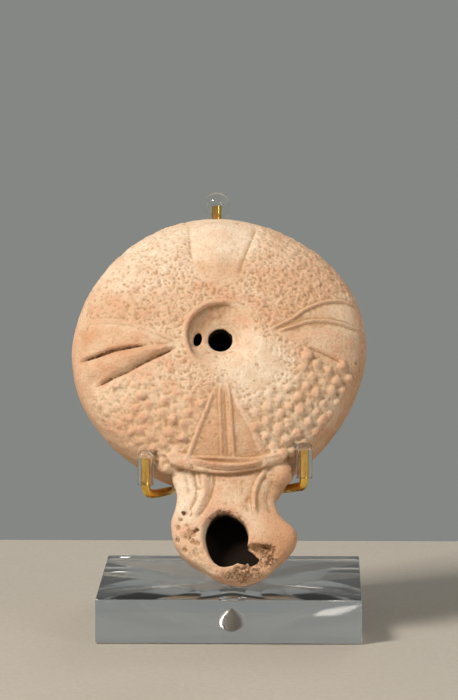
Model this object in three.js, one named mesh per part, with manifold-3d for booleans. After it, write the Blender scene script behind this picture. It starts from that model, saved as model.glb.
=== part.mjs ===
// Roman clay oil lamp, leaning in a brass wire cradle on a clear acrylic stand.
// Millimetres, +Z up, +Y away from the viewer, origin under the middle of the base block.
import * as THREE from 'three';
import { mergeVertices } from 'three/addons/utils/BufferGeometryUtils.js';
import Module from 'manifold-3d';

const wasm = await Module();
wasm.setup();

const degree = Math.PI / 180;

// The lamp in its own axes: x across, y along towards the end away from the nozzle, z out of the face.
const lamp = {
  centre: [-2.5, -8, 62.8],
  leanBack: 31 * degree,
  turnRight: 3 * degree,
  roll: 2.8 * degree,
  radius: 33.3,
  domeHeight: 12,
  bowlDepth: 13.2,
  fullness: 2.5,
  wall: 3.4,
  footRadius: 15,
  footHeight: 0.8,
};

const discus = {
  ringRadius: 8.4,
  ringRise: 0.45,
  ringWidth: 1.2,
  holeRadius: 2.7,
  holeDepth: 4,
  airHole: [-5.2, -0.3],
  airHoleRadius: [1.1, 1.5],
};

const leaf = {
  centres: [-91 * degree, 2 * degree, 87 * degree, 183.7 * degree],
  tipRadius: 11,
  tipHalfWidth: 0.9,
  spread: 0.39,
  endRadius: 31.6,
  edgeRise: 0.6,
  bladeRise: 0.3,
  ribRise: 0.7,
};

const bosses = {
  rings: 9,
  innerRadius: 11.3,
  outerRadius: 31,
  crowding: 1.15,
  perSector: 9,
  riseToPitch: 0.3,
};

// The nozzle's lists are [distance from the middle of the body, value]. It sways a little from side to side.
const nozzle = {
  start: 23,
  tip: 56.7,
  wickHole: [-1.4, -47.1],
  wickRadius: [4.6, 6.3],
  lip: [-2.2, -47.1],
  lipRadius: [5.5, 6.7],
  lipDepth: 2.2,
  wall: 2.9,
  sway: [[23, 0], [35, 0.1], [38, -1.1], [41, -1.4], [45, 0.3], [50, 0.9], [56.7, 1.4]],
  halfWidth: [[23, 13], [28, 14.3], [31, 13.5], [37.5, 11], [42, 12.4], [45.3, 13.7], [49, 12.6],
    [53, 8.2], [55.6, 4.4], [56.7, 1.2]],
  top: [[23, 6.4], [29, 6.4], [33, 5.5], [40, 5], [49, 5], [53.5, 4.4], [55.6, 2.9], [56.7, 0.9]],
  bottom: [[23, -10.4], [31, -9.4], [38, -7.8], [46, -6.2], [52, -4.8], [55.6, -2.4], [56.7, -0.6]],
};

// Double moulding where the neck leaves the body.
const bar = {
  radius: 30.5,
  fromAngle: -117 * degree,
  toAngle: -64 * degree,
  height: 6.6,
  halfWidth: 1.5,
  rise: 1.3,
};

// A piece broken out of the edge between the wick hole and the right lobe.
const chip = { centre: [5.9, -51.2, 5.4], size: [3.7, 2.7, 2.3] };

// The stand.
const block = { side: 60, height: 10, edge: 0.4 };
const socket = { y: 22.7, radius: 2.75, depth: 8, drillAngle: 59 * degree };
const post = { radius: 2.45, top: 50, boreRadius: 1.5, boreDepth: 8 };
const gap = 0.3;

const prong = { x: -3.7, y: 17.2, radius: 1.15, top: 95, straightFrom: 77 };
const hook = { radius: 1, bendRadius: 2.2 };
const leftHook = { side: -1, x: -18.6, y: -29.3, foot: 33.6, dip: 0.5, top: 42.2 };
const rightHook = { side: 1, x: 17, y: -27.7, foot: 35, dip: 1.9, top: 43.9 };
const sleeve = { hookRadius: 1.8, prongRadius: 2.9, hookEnd: 1.2, prongEnd: 2.5, prongLength: 18 };

// ---- joining and cutting ----

function solidOf(geometry) {
  const bare = geometry.clone();
  bare.deleteAttribute('normal');
  bare.deleteAttribute('uv');
  const merged = mergeVertices(bare, 1e-4);
  const kept = [];
  const index = merged.index.array;
  for (let i = 0; i < index.length; i += 3) {
    const [a, b, c] = [index[i], index[i + 1], index[i + 2]];
    if (a !== b && b !== c && c !== a) kept.push(a, b, c);
  }
  const vertProperties = new Float32Array(merged.attributes.position.array);
  const triVerts = new Uint32Array(kept);
  return new wasm.Manifold(new wasm.Mesh({ numProp: 3, vertProperties, triVerts }));
}

// Edges shorter than this are closed up, so that no sliver is left where two surfaces nearly meet.
const smallestEdge = 0.03;

function geometryOf(solid) {
  const mesh = solid.simplify(smallestEdge).getMesh();
  const geometry = new THREE.BufferGeometry();
  geometry.setAttribute('position', new THREE.BufferAttribute(mesh.vertProperties.slice(), 3));
  geometry.setIndex(new THREE.BufferAttribute(mesh.triVerts.slice(), 1));
  geometry.computeVertexNormals();
  return geometry;
}

// Closed skin over rings of points. Each ring has as many points as the one before it, or half as many.
function skin(rings) {
  const positions = [];
  const triangles = [];
  const starts = [];
  for (const ring of rings) {
    starts.push(positions.length / 3);
    for (const point of ring) positions.push(...point);
  }
  for (let k = 0; k + 1 < rings.length; k += 1) {
    const [a, b] = [starts[k], starts[k + 1]];
    const [na, nb] = [rings[k].length, rings[k + 1].length];
    const step = na / nb;
    for (let j = 0; j < nb; j += 1) {
      const next = (j + 1) % nb;
      for (let i = 0; i < step; i += 1) {
        const here = a + j * step + i;
        const there = a + (j * step + i + 1) % na;
        triangles.push(here, i === 0 ? b + j : b + next, there);
        if (i === 0) triangles.push(there, b + j, b + next);
      }
    }
  }
  for (const [k, flip] of [[0, false], [rings.length - 1, true]]) {
    const ring = rings[k];
    const middle = ring.reduce((sum, p) => [sum[0] + p[0], sum[1] + p[1], sum[2] + p[2]], [0, 0, 0]);
    const hub = positions.length / 3;
    positions.push(...middle.map((value) => value / ring.length));
    for (let j = 0; j < ring.length; j += 1) {
      const [p, q] = [starts[k] + j, starts[k] + (j + 1) % ring.length];
      if (flip) triangles.push(hub, q, p);
      else triangles.push(hub, p, q);
    }
  }
  const geometry = new THREE.BufferGeometry();
  geometry.setAttribute('position', new THREE.Float32BufferAttribute(positions, 3));
  geometry.setIndex(triangles);
  return geometry;
}

// Smooth value through a short list of [place, value] pairs.
function through(pairs, place) {
  if (place <= pairs[0][0]) return pairs[0][1];
  const last = pairs.length - 1;
  if (place >= pairs[last][0]) return pairs[last][1];
  let i = 0;
  while (pairs[i + 1][0] < place) i += 1;
  const slope = (k) => {
    const [before, after] = [pairs[Math.max(k - 1, 0)], pairs[Math.min(k + 1, last)]];
    return (after[1] - before[1]) / (after[0] - before[0]);
  };
  const span = pairs[i + 1][0] - pairs[i][0];
  const t = (place - pairs[i][0]) / span;
  const t2 = t * t;
  const t3 = t2 * t;
  return (2 * t3 - 3 * t2 + 1) * pairs[i][1] + (t3 - 2 * t2 + t) * span * slope(i)
    + (3 * t2 - 2 * t3) * pairs[i + 1][1] + (t3 - t2) * span * slope(i + 1);
}

// ---- the lamp's body ----

// The outline isn't a true circle: the clay was pressed in the mould by hand.
function outOfRound(angle, radius) {
  const swell = 0.006 * Math.sin(2 * angle) + 0.01 * Math.sin(3 * angle)
    + 0.011 * Math.cos(4 * angle) + 0.008 * Math.sin(4 * angle);
  return 1 + swell * (radius / lamp.radius) ** 2;
}

function curveHeight(radius, outer, height) {
  const share = Math.min(radius / outer, 1);
  return height * (1 - share ** lamp.fullness) ** (1 / lamp.fullness);
}

// Point on the dome, lifted off it by rise.
function domePoint(radius, angle, rise) {
  const step = 0.05;
  const reach = Math.min(radius, lamp.radius - step);
  const slope = (curveHeight(reach - step, lamp.radius, lamp.domeHeight)
    - curveHeight(reach + step, lamp.radius, lamp.domeHeight)) / (2 * step);
  const length = Math.hypot(slope, 1);
  const out = (radius + rise * slope / length) * outOfRound(angle, radius);
  const up = curveHeight(radius, lamp.radius, lamp.domeHeight) + rise / length;
  return [out * Math.cos(angle), out * Math.sin(angle), up];
}

function leafHalfWidth(radius) {
  return leaf.tipHalfWidth + leaf.spread * Math.max(radius - leaf.tipRadius, 0);
}

// Lines across one leaf: how far from its middle, and how high they stand.
function leafLines(radius) {
  const half = leafHalfWidth(radius);
  const inside = radius >= leaf.tipRadius && radius <= leaf.endRadius;
  const lift = inside ? 1 : 0;
  const foot = Math.min(0.9, half * 0.35);
  const side = [[half + 0.3, 0], [half - 0.3, leaf.edgeRise], [half * 0.6, leaf.bladeRise],
    [foot, leaf.bladeRise]];
  const right = side.map(([offset, rise]) => [-offset, rise * lift]);
  const left = side.map(([offset, rise]) => [offset, rise * lift]).reverse();
  return [...right, [0, leaf.ribRise * lift], ...left];
}

// One ring of points at a radius, going round past the four leaves and the bossed fields between them.
function domeRing(radius, bossRise, stagger) {
  const ring = [];
  leaf.centres.forEach((centre, q) => {
    const lines = leafLines(radius);
    const angleOf = (offset) => Math.asin(offset / radius);
    for (const [offset, rise] of lines) ring.push(domePoint(radius, centre + angleOf(offset), rise));
    const turn = q === leaf.centres.length - 1 ? 2 * Math.PI : 0;
    const from = centre + angleOf(lines[lines.length - 1][0]);
    const to = leaf.centres[(q + 1) % leaf.centres.length] + turn + angleOf(lines[0][0]);
    const columns = 2 * bosses.perSector;
    for (let i = 1; i < columns; i += 1) {
      const angle = from + (to - from) * i / columns;
      const wear = 0.78 - 0.22 * Math.sin(angle);
      const rise = i % 2 === stagger ? bossRise * wear : 0;
      ring.push(domePoint(radius, angle, rise));
    }
  });
  return ring;
}

function bossRadius(k) {
  const reach = bosses.outerRadius - bosses.innerRadius;
  return bosses.innerRadius + reach * (k / (bosses.rings - 1)) ** bosses.crowding;
}

function bodySkin() {
  const rings = [domeRing(bossRadius(0) - 1, 0, 1)];
  for (let k = 0; k < bosses.rings; k += 1) {
    const radius = bossRadius(k);
    const next = k + 1 < bosses.rings ? bossRadius(k + 1) : radius + 2.4;
    rings.push(domeRing(radius, bosses.riseToPitch * (next - radius), (k + 1) % 2));
    rings.push(domeRing((radius + next) / 2, 0, 1));
  }
  rings.push(domeRing(lamp.radius * 0.992, 0, 1));
  const rim = domeRing(lamp.radius, 0, 1);
  const halved = rim.filter((_, i) => i % 2 === 0);
  const bowlSteps = 6;
  for (let i = 0; i < bowlSteps; i += 1) {
    const t = (i + 0.35) / bowlSteps * Math.PI / 2;
    const share = Math.cos(t) ** (2 / lamp.fullness);
    if (share * lamp.radius < lamp.footRadius) break;
    const depth = curveHeight(share * lamp.radius, lamp.radius, lamp.bowlDepth);
    rings.push(halved.map(([x, y]) => [x * share, y * share, -depth]));
  }
  const footShare = lamp.footRadius / lamp.radius;
  const footDepth = lamp.bowlDepth + lamp.footHeight;
  for (const [share, depth] of [[1.04, lamp.bowlDepth - 0.9], [1, footDepth], [0.88, footDepth],
    [0.82, footDepth - lamp.footHeight]]) {
    rings.push(halved.map(([x, y]) => [x * footShare * share, y * footShare * share, -depth]));
  }
  return skin(rings);
}

function turned(profile, segments) {
  const points = profile.map(([radius, height]) => new THREE.Vector2(radius, height));
  const geometry = new THREE.LatheGeometry(points, segments);
  geometry.rotateX(Math.PI / 2);
  return geometry;
}

// ---- the nozzle ----

// Closed section across the nozzle: a moulded top and a rounded underside.
function nozzleSection(along, inset, moulded) {
  const half = Math.max(through(nozzle.halfWidth, along) - inset, 0.8);
  const top = through(nozzle.top, along) - inset;
  const bottom = through(nozzle.bottom, along) + inset;
  const fade = moulded ? Math.min(Math.max((45 - along) / 4, 0), 1) : 0;
  const lines = [[0.94, 0.1], [0.8, 0.45], [0.68, 0.2], [0.6, -0.35], [0.5, 0.35], [0.36, -0.4]];
  const across = [];
  for (const [share, rise] of lines) across.push([share * half, top + rise * fade]);
  across.push([0, top - 0.4 * fade]);
  for (const [share, rise] of [...lines].reverse()) across.push([-share * half, top + rise * fade]);
  const shoulder = top - Math.min(1.6, (top - bottom) / 3);
  const steps = 10;
  for (let j = 0; j <= steps; j += 1) {
    const t = Math.PI * j / steps;
    const x = -half * Math.sign(Math.cos(t)) * Math.abs(Math.cos(t)) ** 0.8;
    across.push([x, shoulder - (shoulder - bottom) * Math.sin(t) ** 0.8]);
  }
  const sway = through(nozzle.sway, along);
  return across.reverse().map(([x, z]) => [x + sway, -along, z]);
}

function nozzleSkin(from, to, stations, inset, moulded) {
  const rings = [];
  for (let i = 0; i <= stations; i += 1) {
    const along = from + (to - from) * Math.sin(i / stations * Math.PI / 2) ** 0.9;
    rings.push(nozzleSection(along, inset, moulded));
  }
  return skin(rings);
}

// Double moulding across the neck, swept along the edge of the body.
function barSkin() {
  const section = [[-1, -1], [-1, 0.3], [-0.55, 1], [-0.05, 0.45], [0.45, 1], [1, 0.3], [1, -1]];
  const steps = 14;
  const rings = [];
  for (let i = 0; i <= steps; i += 1) {
    const share = i / steps;
    const angle = bar.fromAngle + (bar.toAngle - bar.fromAngle) * share;
    const swell = 1 + 0.35 * Math.abs(2 * share - 1) ** 4;
    rings.push(section.map(([across, up]) => {
      const radius = bar.radius - across * bar.halfWidth * swell;
      return [radius * Math.cos(angle), radius * Math.sin(angle), bar.height + up * bar.rise * swell];
    }));
  }
  return skin(rings);
}

function shaft(centre, radii, low, high, sides, foot = 1) {
  const geometry = new THREE.CylinderGeometry(1, foot, high - low, sides);
  geometry.rotateX(Math.PI / 2);
  geometry.scale(radii[0], radii[1], 1);
  geometry.translate(centre[0], centre[1], (high + low) / 2);
  return geometry;
}

const ringCrest = curveHeight(discus.ringRadius, lamp.radius, lamp.domeHeight) + discus.ringRise;

// Thin raised ring round the hollow of the discus.
function ringSolid() {
  const inside = discus.ringRadius - discus.ringWidth / 2;
  const outside = discus.ringRadius + discus.ringWidth / 2;
  const buried = ringCrest - 2.5;
  return solidOf(turned([[inside, buried], [outside + 0.4, buried], [outside, ringCrest - 0.5],
    [discus.ringRadius + 0.25, ringCrest], [discus.ringRadius - 0.3, ringCrest], [inside, ringCrest - 0.6],
    [inside, buried]], 30));
}

// What is taken away to leave the shallow funnel with the two holes in it.
function funnelSolid() {
  const rim = discus.ringRadius - discus.ringWidth / 2;
  const floor = ringCrest - discus.holeDepth;
  const filling = [discus.holeRadius, discus.holeRadius];
  const funnel = turned([[0, floor], [discus.holeRadius, floor], [5.2, floor + 1.3], [rim, ringCrest - 1],
    [rim, ringCrest + 3], [0, ringCrest + 3]], 26);
  return solidOf(funnel).add(solidOf(shaft([0, 0], filling, 0, lamp.domeHeight, 20)))
    .add(solidOf(shaft(discus.airHole, discus.airHoleRadius, 0, lamp.domeHeight, 12)));
}

// The oil chamber, with a ceiling that dips under the funnel.
function chamberSolid() {
  const inner = lamp.radius - lamp.wall;
  const floorDepth = lamp.bowlDepth - lamp.wall;
  const ceiling = (radius) => {
    const dip = 3.4 * Math.max(1 - radius / 13, 0) ** 0.7;
    return curveHeight(radius, inner, lamp.domeHeight - lamp.wall) - dip;
  };
  const profile = [[0, -floorDepth]];
  for (const share of [0.4, 0.6, 0.78, 0.91, 0.985]) {
    profile.push([inner * share, -curveHeight(inner * share, inner, floorDepth)]);
  }
  for (const share of [1, 0.96, 0.85, 0.68, 0.45, 0.3, 0.12]) {
    profile.push([inner * share, ceiling(inner * share)]);
  }
  profile.push([0, ceiling(0)]);
  const wickEnd = nozzle.tip - nozzle.wall - 0.6;
  const lipTop = 5.4;
  return solidOf(turned(profile, 28))
    .add(solidOf(nozzleSkin(nozzle.start, wickEnd, 8, nozzle.wall, false)))
    .add(solidOf(shaft(nozzle.wickHole, nozzle.wickRadius, -1.5, lamp.domeHeight, 24)))
    .add(solidOf(shaft(nozzle.lip, nozzle.lipRadius, lipTop - nozzle.lipDepth, lipTop, 20, 0.78)));
}

function chipSolid() {
  const lump = new THREE.IcosahedronGeometry(1, 1);
  lump.scale(...chip.size);
  lump.translate(...chip.centre);
  return solidOf(lump);
}

function lampSolid() {
  const outside = solidOf(bodySkin()).add(solidOf(barSkin()))
    .add(solidOf(nozzleSkin(nozzle.start, nozzle.tip, 15, 0, true)));
  return outside.subtract(funnelSolid()).add(ringSolid()).subtract(chamberSolid()).subtract(chipSolid());
}

// ---- the stand ----

function blockSolid() {
  const half = block.side / 2 - block.edge;
  const outline = new THREE.Shape();
  outline.moveTo(-half, -half);
  outline.lineTo(half, -half);
  outline.lineTo(half, half);
  outline.lineTo(-half, half);
  outline.closePath();
  const body = new THREE.ExtrudeGeometry(outline, { depth: block.height - 2 * block.edge,
    bevelThickness: block.edge, bevelSize: block.edge, bevelSegments: 1 });
  body.translate(0, 0, block.edge);
  const point = block.height - socket.depth;
  const flat = point + socket.radius / Math.tan(socket.drillAngle);
  const drilled = turned([[0, point], [socket.radius, flat], [socket.radius, block.height + 1],
    [0, block.height + 1]], 24);
  drilled.translate(0, socket.y, 0);
  return solidOf(body).subtract(solidOf(drilled));
}

function postGeometry() {
  const low = block.height - socket.depth + socket.radius / Math.tan(socket.drillAngle) + gap;
  const geometry = turned([[0, low], [post.radius, low], [post.radius, post.top], [post.boreRadius, post.top],
    [post.boreRadius, post.top - post.boreDepth], [0, post.top - post.boreDepth]], 20);
  geometry.translate(0, socket.y, 0);
  return geometry;
}

// Round wire along a smooth curve.
function wire(points, radius, steps) {
  const route = new THREE.CatmullRomCurve3(points.map((p) => new THREE.Vector3(...p)), false, 'centripetal');
  const section = new THREE.Shape();
  section.absarc(0, 0, radius, 0, 2 * Math.PI);
  return new THREE.ExtrudeGeometry(section, { steps, extrudePath: route, curveSegments: 4,
    bevelEnabled: false });
}

// From the tip of a hook, down in front of the shoulder and back under the body to the middle.
function hookRoute({ side, x, y, foot, dip, top }) {
  const bend = hook.bendRadius;
  return [[x, y, top], [x, y, foot + bend + 1], [x, y, foot + bend],
    [x - side * 0.5, y + 0.6, foot + 0.5], [x - side * 1.6, y + 2, foot],
    [x - side * 4.2, y + 7, foot - dip * 0.6], [x - side * 6.2, y + 14, foot - dip],
    [x - side * 9, y + 26, foot + 1.5], [x - side * 13, y + 38, foot + 9]];
}

function cradleSolid() {
  const peg = post.top - post.boreDepth + gap;
  const upright = wire([[0, socket.y, peg], [0, socket.y, post.top + 1], [-0.4, socket.y - 0.6, post.top + 6],
    [-2.2, 20, 65], [prong.x, prong.y + 0.4, prong.straightFrom - 4], [prong.x, prong.y, prong.straightFrom],
    [prong.x, prong.y, prong.top]], prong.radius, 16);
  const joint = [-0.2, socket.y - 1.6, post.top + 3];
  const lower = wire([...hookRoute(leftHook), joint, ...hookRoute(rightHook).reverse()], hook.radius, 52);
  const solder = new THREE.IcosahedronGeometry(1.9, 1);
  solder.translate(-0.2, socket.y - 0.8, post.top + 3.1);
  return solidOf(upright).add(solidOf(lower)).add(solidOf(solder));
}

// Clear sleeve over the end of a wire, closed by a dome.
function sleeveGeometry(x, y, low, wireTop, bore, radius, end, sides) {
  const dome = wireTop + gap + end;
  const profile = [[0, wireTop + gap], [bore, wireTop + gap], [bore, low], [radius, low]];
  const steps = 4;
  for (let i = 0; i < steps; i += 1) {
    const t = i / steps * Math.PI / 2;
    profile.push([radius * Math.cos(t), dome - end + end * Math.sin(t)]);
  }
  profile.push([0, dome]);
  const geometry = turned(profile, sides);
  geometry.translate(x, y, 0);
  return geometry;
}

// ---- materials and the finished group ----

const clay = new THREE.MeshStandardMaterial({ color: 0xd9b79a, roughness: 0.9, metalness: 0 });
const acrylic = new THREE.MeshStandardMaterial({ color: 0xeef3f4, roughness: 0.05, metalness: 0,
  transparent: true, opacity: 0.3 });
const brass = new THREE.MeshStandardMaterial({ color: 0xb98a35, roughness: 0.3, metalness: 1 });
const silicone = new THREE.MeshStandardMaterial({ color: 0xe8ebea, roughness: 0.15, metalness: 0,
  transparent: true, opacity: 0.35 });

function named(name, geometry, material) {
  const mesh = new THREE.Mesh(geometry, material.clone());
  mesh.name = name;
  return mesh;
}

const rolled = new THREE.Group();
rolled.rotation.z = lamp.roll;
rolled.add(named('lamp_body', geometryOf(lampSolid()), clay));
const leaned = new THREE.Group();
leaned.rotation.x = Math.PI / 2 - lamp.leanBack;
leaned.add(rolled);
const placed = new THREE.Group();
placed.rotation.z = lamp.turnRight;
placed.position.set(...lamp.centre);
placed.add(leaned);

const part = new THREE.Group();
part.add(placed);
part.add(named('base_block', geometryOf(blockSolid()), acrylic));
part.add(named('post_rod', postGeometry(), acrylic));
part.add(named('brass_cradle', geometryOf(cradleSolid()), brass));
part.add(named('sleeve_top', sleeveGeometry(prong.x, prong.y, prong.top - sleeve.prongLength, prong.top,
  prong.radius + gap, sleeve.prongRadius, sleeve.prongEnd, 14), silicone));
for (const [name, end] of [['sleeve_left', leftHook], ['sleeve_right', rightHook]]) {
  part.add(named(name, sleeveGeometry(end.x, end.y, end.foot + hook.bendRadius + 0.2, end.top,
    hook.radius + gap, sleeve.hookRadius, sleeve.hookEnd, 12), silicone));
}

export default part;
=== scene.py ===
import math
from itertools import product

import bpy
import numpy as np
from mathutils import Matrix, Vector


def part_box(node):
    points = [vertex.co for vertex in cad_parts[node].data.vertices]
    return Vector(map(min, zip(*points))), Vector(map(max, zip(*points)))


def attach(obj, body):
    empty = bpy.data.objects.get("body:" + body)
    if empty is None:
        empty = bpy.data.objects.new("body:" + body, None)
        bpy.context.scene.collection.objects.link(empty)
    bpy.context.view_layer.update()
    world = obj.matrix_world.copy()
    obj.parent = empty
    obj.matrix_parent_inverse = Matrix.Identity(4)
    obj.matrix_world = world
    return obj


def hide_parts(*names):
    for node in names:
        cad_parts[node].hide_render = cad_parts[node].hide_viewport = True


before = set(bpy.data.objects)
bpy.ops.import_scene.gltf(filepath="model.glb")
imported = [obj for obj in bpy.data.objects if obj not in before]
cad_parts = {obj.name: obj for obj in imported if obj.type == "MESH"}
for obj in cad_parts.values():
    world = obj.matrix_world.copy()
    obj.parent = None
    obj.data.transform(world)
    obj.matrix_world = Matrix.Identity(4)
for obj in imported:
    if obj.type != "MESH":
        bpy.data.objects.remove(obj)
for leftOver in ("Cube", "Light", "Camera"):  # what a new file starts with
    if leftOver in bpy.data.objects:
        bpy.data.objects.remove(bpy.data.objects[leftOver])
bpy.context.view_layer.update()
print("frame loaded")

mm = 0.001


# ---- meshes ----

def newPiece(name, points, faces):
    mesh = bpy.data.meshes.new(name)
    mesh.from_pydata([tuple(p) for p in np.asarray(points, float)], [], [tuple(f) for f in faces])
    mesh.update()
    piece = bpy.data.objects.new(name, mesh)
    bpy.context.scene.collection.objects.link(piece)
    return piece


def columnOf(items, name, width, kind=np.float32):
    flat = np.zeros(len(items) * width, kind)
    items.foreach_get(name, flat)
    return flat.reshape(-1, width)


def pointsOf(mesh):
    return columnOf(mesh.vertices, "co", 3).astype(float)


def normalsOf(mesh):
    return columnOf(mesh.vertices, "normal", 3).astype(float)


def edgesOf(mesh):
    return columnOf(mesh.edges, "vertices", 2, np.int32)


def setPoints(mesh, points):
    mesh.vertices.foreach_set("co", np.asarray(points, np.float32).ravel())
    mesh.update()


def inMillimetres(corners):
    return [np.array(corner) / mm for corner in corners]


def turnsOf(count):
    # angles of one full turn
    return np.arange(count) * 2 * math.pi / count


def ringOf(angles, across, along, height, middle=(0, 0)):
    # level oval ring
    return np.stack([middle[0] + across * np.cos(angles), middle[1] + along * np.sin(angles), height + 0 * angles], 1)


def ringSkin(name, rings):
    # closed skin over rings that all have the same number of points, capped at both ends
    rings = np.asarray(rings, float)
    count, around = rings.shape[:2]
    points = np.vstack([rings.reshape(-1, 3), rings[0].mean(0)[None], rings[-1].mean(0)[None]])
    faces = []
    for k in range(count - 1):
        for j in range(around):
            n = (j + 1) % around
            faces.append((k * around + j, k * around + n, (k + 1) * around + n, (k + 1) * around + j))
    last = (count - 1) * around
    for j in range(around):
        n = (j + 1) % around
        faces.append((count * around, n, j))
        faces.append((count * around + 1, last + j, last + n))
    return newPiece(name, points, faces)


def turnedSkin(name, profile, around, middle=(0, 0)):
    # solid of revolution about an upright line through middle; profile runs from the foot to the top
    rings = [[(middle[0] + r * math.cos(t), middle[1] + r * math.sin(t), z) for t in turnsOf(around)]
             for r, z in profile]
    return ringSkin(name, rings)


def settle(piece):
    # what the modifiers make becomes the piece's own mesh
    bpy.context.view_layer.update()
    made = bpy.data.meshes.new_from_object(piece.evaluated_get(bpy.context.evaluated_depsgraph_get()))
    old = piece.data
    piece.modifiers.clear()
    piece.data = made
    made.name = piece.name
    bpy.data.meshes.remove(old)
    return piece


def discard(piece):
    mesh = piece.data
    bpy.data.objects.remove(piece)
    bpy.data.meshes.remove(mesh)


def gathered(name, pieces):
    # several closed shells as one mesh
    points, faces, start = [], [], 0
    for piece in pieces:
        own = pointsOf(piece.data)
        points.append(own)
        faces += [tuple(v + start for v in face.vertices) for face in piece.data.polygons]
        start += len(own)
        discard(piece)
    return newPiece(name, np.vstack(points), faces)


def combine(piece, other, way):
    change = piece.modifiers.new(way.lower(), "BOOLEAN")
    change.operation = way
    change.solver = "MANIFOLD"
    change.object = other
    settle(piece)
    discard(other)
    return piece


def shadeSmooth(piece, sharpest=None):
    piece.data.polygons.foreach_set("use_smooth", [True] * len(piece.data.polygons))
    if sharpest is not None:
        piece.data.set_sharp_from_angle(angle=math.radians(sharpest))
    piece.data.update()


def finishPiece(piece, nodes, material, sharpest=None, place=Matrix.Scale(mm, 4)):
    piece.data.transform(place)
    shadeSmooth(piece, sharpest)
    piece.data.materials.clear()
    piece.data.materials.append(material)
    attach(piece, "root")
    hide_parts(*nodes)
    return piece


# ---- nodes ----

def feed(tree, socket, value):
    # an input takes a plain value or a link
    if isinstance(value, bpy.types.NodeSocket):
        tree.links.new(value, socket)
    else:
        socket.default_value = value


def addNode(tree, kind, inputs=(), **settings):
    # a node with its settings, its inputs given as (name or number, value or socket)
    node = tree.nodes.new(kind)
    for name, value in settings.items():
        setattr(node, name, value)
    for name, value in inputs:
        feed(tree, node.inputs[name], value)
    return node


def sums(tree, way, first, second):
    return addNode(tree, "ShaderNodeMath", [(0, first), (1, second)], operation=way).outputs[0]


# ---- curves and random fields ----

def smoothRoute(points, steps):
    # centripetal curve through the points, the same as the wires of the frame follow
    p = np.asarray(points, float)
    p = np.vstack([2 * p[0] - p[1], p, 2 * p[-1] - p[-2]])
    route = []
    for i in range(1, len(p) - 2):
        a, b, c, d = p[i - 1:i + 3]
        t1 = max(np.linalg.norm(b - a) ** 0.5, 1e-6)
        t2 = max(np.linalg.norm(c - b) ** 0.5, 1e-6)
        t3 = max(np.linalg.norm(d - c) ** 0.5, 1e-6)
        m1 = ((b - a) / t1 - (c - a) / (t1 + t2) + (c - b) / t2) * t2
        m2 = ((c - b) / t2 - (d - b) / (t2 + t3) + (d - c) / t3) * t2
        for t in np.arange(steps) / steps:
            route.append(b + m1 * t + (3 * (c - b) - 2 * m1 - m2) * t ** 2 + (2 * (b - c) + m1 + m2) * t ** 3)
    route.append(p[-2])
    return np.array(route)


def evenly(route, gap):
    # the same line with points at equal distances
    length = np.concatenate([[0], np.cumsum(np.linalg.norm(np.diff(route, axis=0), axis=1))])
    places = np.linspace(0, length[-1], max(int(length[-1] / gap), 2) + 1)
    return np.stack([np.interp(places, length, route[:, k]) for k in range(3)], 1)


def tube(name, route, radius, around, roundEnds):
    # round wire along a route, its ends domed by roundEnds
    tangents = np.gradient(route, axis=0)
    tangents /= np.linalg.norm(tangents, axis=1)[:, None]
    side = np.cross(tangents[0], (0.3, 0.9, 0.1))
    angles, places = turnsOf(around), []
    for middle, forward in zip(route, tangents):
        side = side - forward * (side @ forward)
        side /= np.linalg.norm(side)
        places.append((middle, forward, side.copy(), np.cross(forward, side)))
    steps = [(places[0], -1, share) for share in (0.2, 0.55, 0.85)]  # the first dome, from its tip outwards
    steps += [(place, 0, 1) for place in places]
    steps += [(places[-1], 1, share) for share in (0.85, 0.55, 0.2)]
    rings = []
    for (middle, forward, across, up), way, share in steps:
        ring = radius * share * (np.cos(angles)[:, None] * across + np.sin(angles)[:, None] * up)
        rings.append(middle + way * forward * roundEnds * math.sin(math.acos(share)) + ring)
    return ringSkin(name, rings)


def through(pairs, places):
    # smooth values through a short list of (place, value)
    x, y = np.array(pairs, float).T
    slopes = np.gradient(y, x)
    places = np.clip(places, x[0], x[-1])
    k = np.clip(np.searchsorted(x, places) - 1, 0, len(x) - 2)
    span = x[k + 1] - x[k]
    t = (places - x[k]) / span
    return ((2 * t ** 3 - 3 * t ** 2 + 1) * y[k] + (t ** 3 - 2 * t ** 2 + t) * span * slopes[k]
            + (3 * t ** 2 - 2 * t ** 3) * y[k + 1] + (t ** 3 - t ** 2) * span * slopes[k + 1])


def swell(points, size, seed):
    # smooth random field from about -1 to 1, its waves about size across
    side = 32
    slopes = np.random.default_rng(seed).normal(size=(side, side, side, 3))
    slopes /= np.linalg.norm(slopes, axis=-1, keepdims=True)
    place = np.asarray(points) / size + 200.37
    cell = np.floor(place).astype(int)
    part = place - cell
    fade = part ** 3 * (part * (part * 6 - 15) + 10)
    total = np.zeros(len(place))
    for corner in product((0, 1), repeat=3):
        at = (cell + corner) % side
        lift = ((part - corner) * slopes[at[:, 0], at[:, 1], at[:, 2]]).sum(1)
        total += lift * np.where(corner, fade, 1 - fade).prod(1)
    return total * 1.7


def grains(points, size, seed):
    # rounded lumps set close together: 1 on top of a lump, 0 between lumps
    side = 24
    spots = np.random.default_rng(seed).uniform(0.12, 0.88, (side, side, side, 3))
    place = np.asarray(points) / size + 100.61
    cell = np.floor(place).astype(int)
    nearest = np.full(len(place), 9.0)
    for step in product((-1, 0, 1), repeat=3):
        at = cell + step
        spot = at + spots[at[:, 0] % side, at[:, 1] % side, at[:, 2] % side]
        nearest = np.minimum(nearest, ((place - spot) ** 2).sum(1))
    return np.clip(1 - nearest / 0.55, 0, 1)


def ease(value, low, high):
    t = np.clip((np.asarray(value, float) - low) / (high - low), 0, 1)
    return t * t * (3 - 2 * t)


def spot(points, middle, size, outer, inner):
    # 1 well inside an oval place and 0 outside it; outer and inner are in shares of size
    return ease(np.linalg.norm((points - middle) / size, axis=1), outer, inner)


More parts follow.
